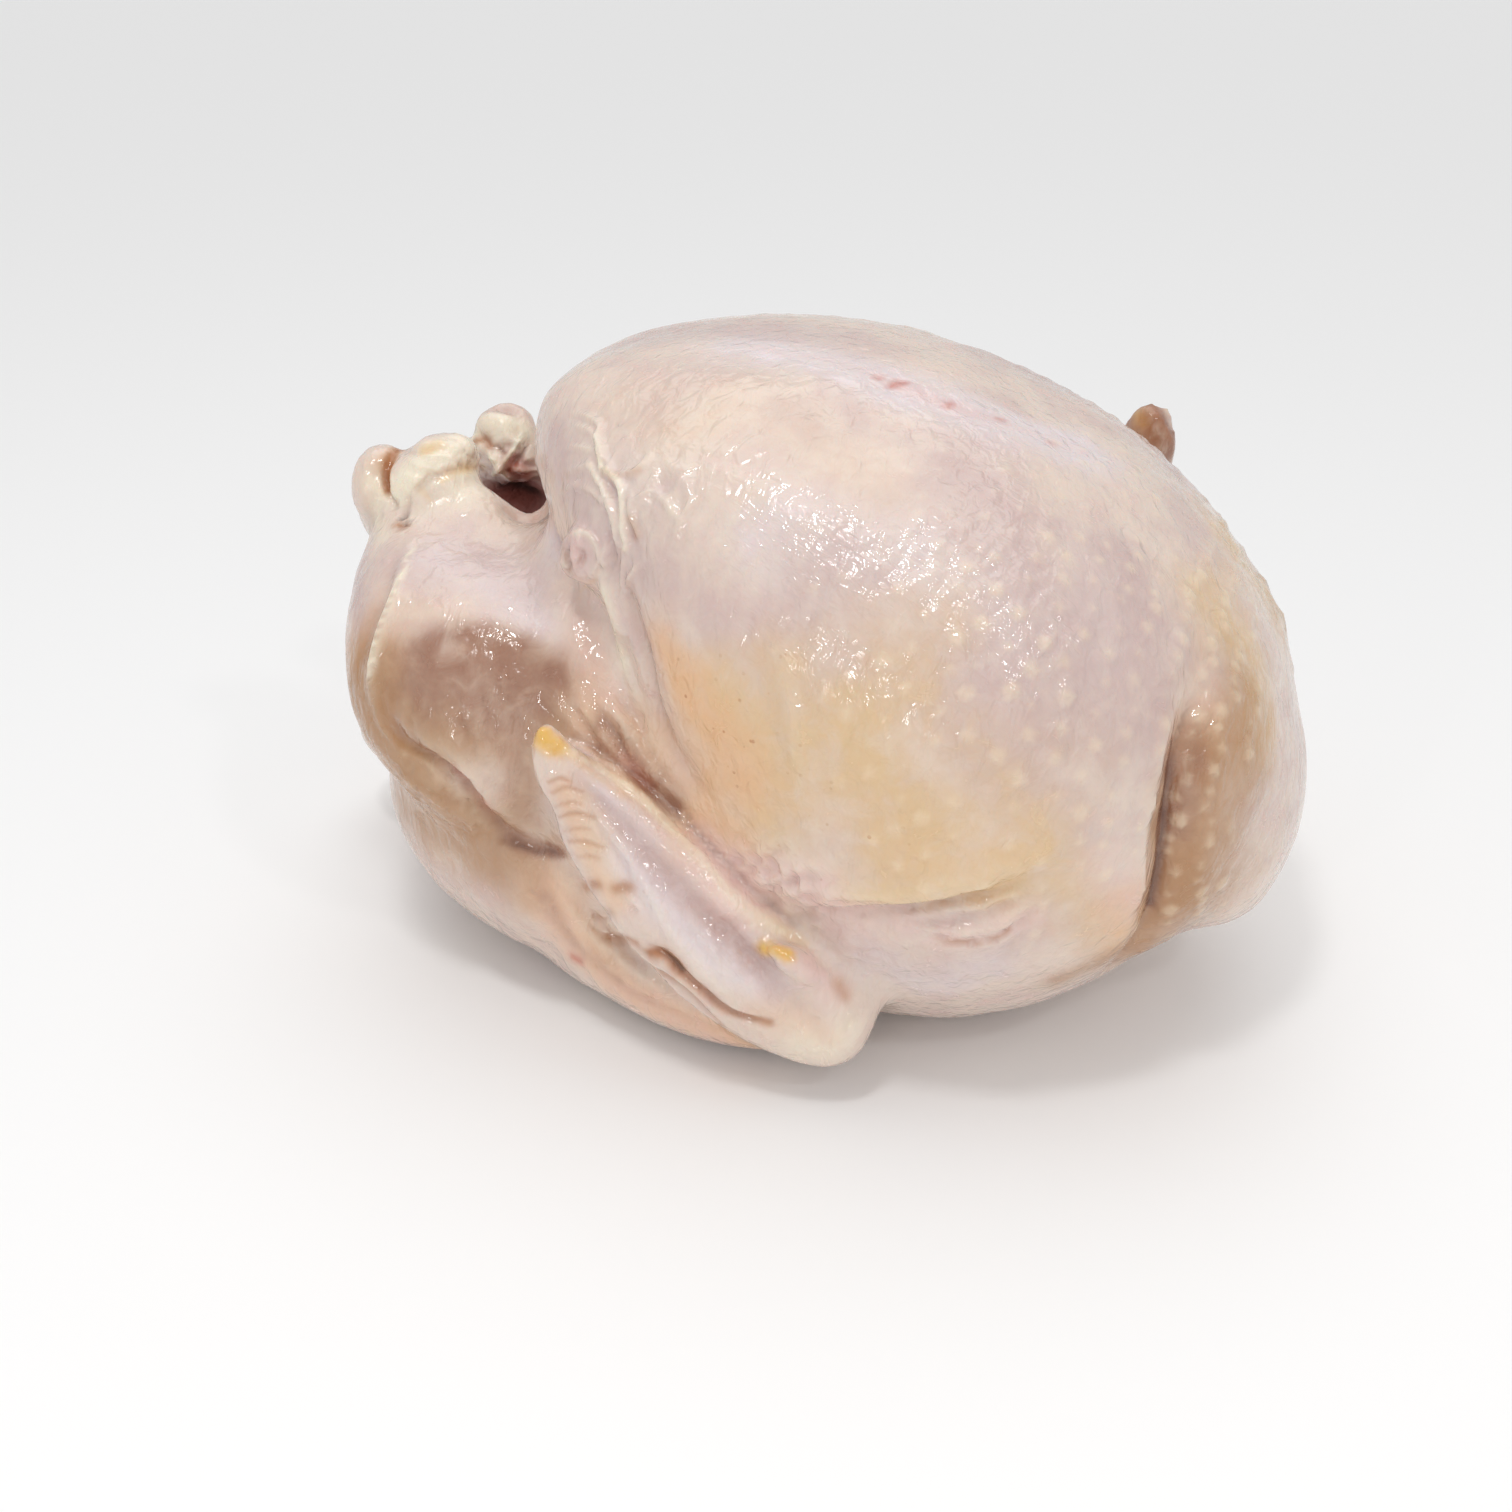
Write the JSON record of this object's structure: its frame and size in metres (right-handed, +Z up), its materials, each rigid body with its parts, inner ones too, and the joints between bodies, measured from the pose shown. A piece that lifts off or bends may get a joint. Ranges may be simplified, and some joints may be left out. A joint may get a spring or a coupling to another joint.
{
  "type": "whole raw turkey",
  "caption": "Whole raw turkey, plucked and drawn, on its back with the legs tucked up at the open vent, wings folded at its sides and a full rounded breast.",
  "frame": {"origin": "on the flat spot of the back that the bird rests on, below the middle of the body", "axes": "+X points to the neck end, +Z up through the breast bone, and the bird's left side is on -Y"},
  "size_m": [0.3303, 0.23, 0.1927],
  "materials": {
    "raw_skin": "moist"
  },
  "bodies": {
    "root": {"turkey": "raw_skin"}
  },
  "joints": []
}
